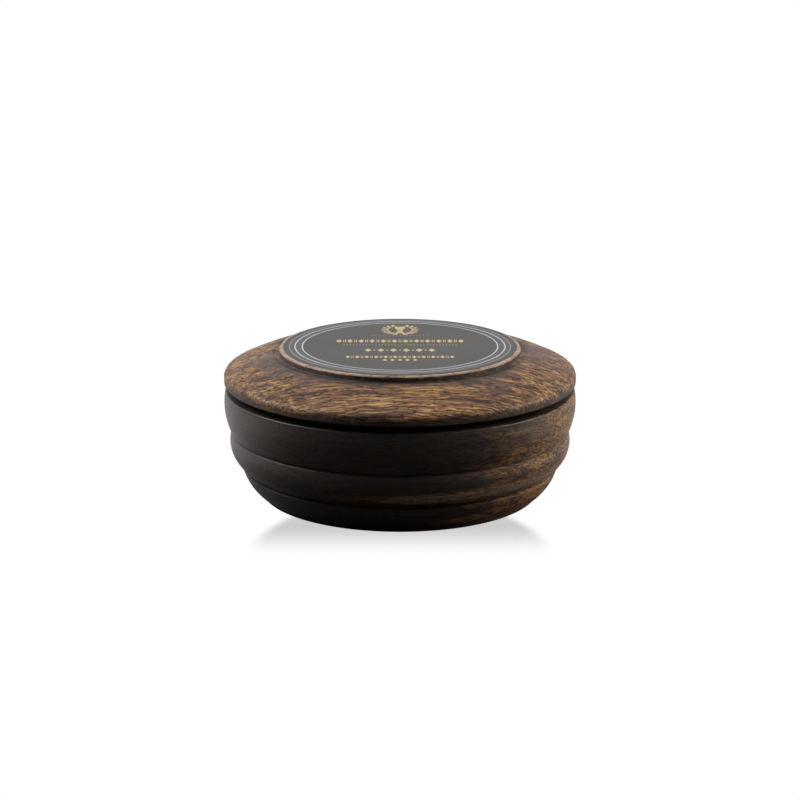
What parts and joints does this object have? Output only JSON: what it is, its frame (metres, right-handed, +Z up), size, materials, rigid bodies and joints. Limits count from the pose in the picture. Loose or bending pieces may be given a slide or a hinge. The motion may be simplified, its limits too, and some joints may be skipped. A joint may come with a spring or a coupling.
{
  "type": "lidded shaving bowl",
  "caption": "Round turned wooden shaving bowl with a lift-off lid, a round label on the lid's raised centre and a puck of shaving soap inside.",
  "frame": {"origin": "centre of the base, in the plane that the bowl stands on", "axes": "+Z up along the turning axis; the lid label reads from -Y, and the wood's grain runs along X"},
  "size_m": [0.1101, 0.1102, 0.0468],
  "materials": {
    "bowl_wood": "dark walnut stain under satin lacquer, open pores",
    "lid_wood": "dark walnut stain under satin lacquer, open pores",
    "lid_label_paper": "satin coated paper with printed silver rings and gold ornament",
    "soap": "waxy hard soap",
    "base_label_paper": "satin coated paper with a printed ring"
  },
  "bodies": {
    "bowl_body": {"bowl": "bowl_wood", "soap_puck": "soap", "base_label": "base_label_paper"},
    "lid_body": {"lid": "lid_wood", "lid_label": "lid_label_paper"}
  },
  "joints": [
    {"name": "lid_lift", "type": "slide", "parent": "bowl_body", "child": "lid_body", "axis": [0, 0, 1], "range_m": [0, 0.06]}
  ]
}
